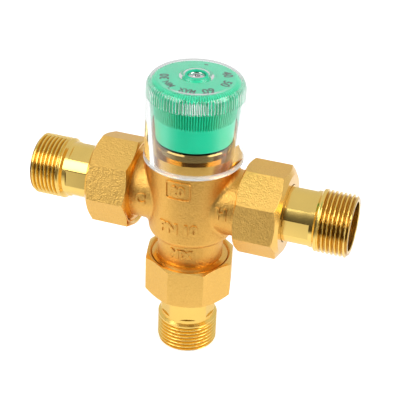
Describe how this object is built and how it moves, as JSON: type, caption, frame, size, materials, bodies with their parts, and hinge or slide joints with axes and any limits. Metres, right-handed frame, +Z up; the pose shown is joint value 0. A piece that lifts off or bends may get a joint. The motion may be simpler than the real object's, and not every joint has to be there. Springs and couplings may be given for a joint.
{
  "type": "thermostatic mixing valve",
  "caption": "T-pattern brass mixing valve with a wax-driven piston, green temperature knob under a clear cap, and a union tail with a male pipe thread on each port.",
  "frame": {"origin": "centre of the outlet tail's end face, the lowest face of the valve", "axes": "+Z up along the barrel towards the knob, +X along the two side arms towards the hot port, -Y towards the front of the body"},
  "size_m": [0.14, 0.0418, 0.1312],
  "materials": {
    "cast_brass": "sand-textured hot-stamped brass, satin",
    "forged_brass": "forged brass nut, satin faces with bright turned chamfers",
    "turned_brass": "bright turned brass",
    "green_plastic": "moulded green plastic, slightly glossy",
    "clear_plastic": "clear moulded plastic",
    "stainless_steel": "stainless steel",
    "plated_steel": "bright zinc plating",
    "seal_rubber": "black nitrile rubber",
    "fibre": "red fibre sheet",
    "acetal": "white acetal"
  },
  "bodies": {
    "housing": {"bonnet": "turned_brass", "bonnet_oring": "seal_rubber", "check_housing_cold": "acetal", "check_housing_hot": "acetal", "check_spring_cold": "stainless_steel", "check_spring_hot": "stainless_steel", "return_spring": "stainless_steel", "sealing_washer_cold": "fibre", "sealing_washer_hot": "fibre", "sealing_washer_mixed": "fibre", "spring_guide": "stainless_steel", "strainer_cold": "stainless_steel", "strainer_hot": "stainless_steel", "tailpiece_cold": "turned_brass", "tailpiece_hot": "turned_brass", "tailpiece_mixed": "turned_brass", "thrust_washer": "stainless_steel", "union_nut_cold": "forged_brass", "union_nut_hot": "forged_brass", "union_nut_mixed": "forged_brass", "valve_body": "cast_brass"},
    "knob": {"temperature_knob": "green_plastic", "knob_screw": "plated_steel", "spindle": "stainless_steel", "spindle_oring": "seal_rubber"},
    "sleeve": {"adjusting_sleeve": "turned_brass", "overload_plunger": "turned_brass", "overload_spring": "stainless_steel", "plunger_retainer": "stainless_steel", "push_rod": "stainless_steel"},
    "piston": {"shuttle": "acetal", "shuttle_oring": "seal_rubber", "wax_element": "turned_brass"},
    "cap": {"clear_cap": "clear_plastic"},
    "hot_poppet": {"check_poppet_hot": "acetal"},
    "cold_poppet": {"check_poppet_cold": "acetal"}
  },
  "joints": [
    {"name": "temperature_turn", "type": "hinge", "parent": "housing", "child": "knob", "pos_m": [0, 0, 0.12], "axis": [0, 0, 1], "range_deg": [-316, 0]},
    {"name": "sleeve_travel", "type": "slide", "parent": "housing", "child": "sleeve", "axis": [0, 0, 1], "range_m": [-0.00263, 0]},
    {"name": "piston_travel", "type": "slide", "parent": "housing", "child": "piston", "axis": [0, 0, 1], "range_m": [-0.00036, 0.00036], "stiffness_N_per_m": 900, "deforming": ["return_spring"]},
    {"name": "hot_check_opening", "type": "slide", "parent": "housing", "child": "hot_poppet", "axis": [-1, 0, 0], "range_m": [0, 0.0018], "stiffness_N_per_m": 60, "springref_m": -0.002, "deforming": ["check_spring_hot"]},
    {"name": "cold_check_opening", "type": "slide", "parent": "housing", "child": "cold_poppet", "axis": [1, 0, 0], "range_m": [0, 0.0018], "stiffness_N_per_m": 60, "springref_m": -0.002, "deforming": ["check_spring_cold"]},
    {"name": "cap_lift", "type": "slide", "parent": "housing", "child": "cap", "axis": [0, 0, 1], "range_m": [0, 0.045]}
  ],
  "couplings": [
    {"joint": "temperature_turn", "follows": "sleeve_travel", "rad_per_m": 2094.4}
  ]
}
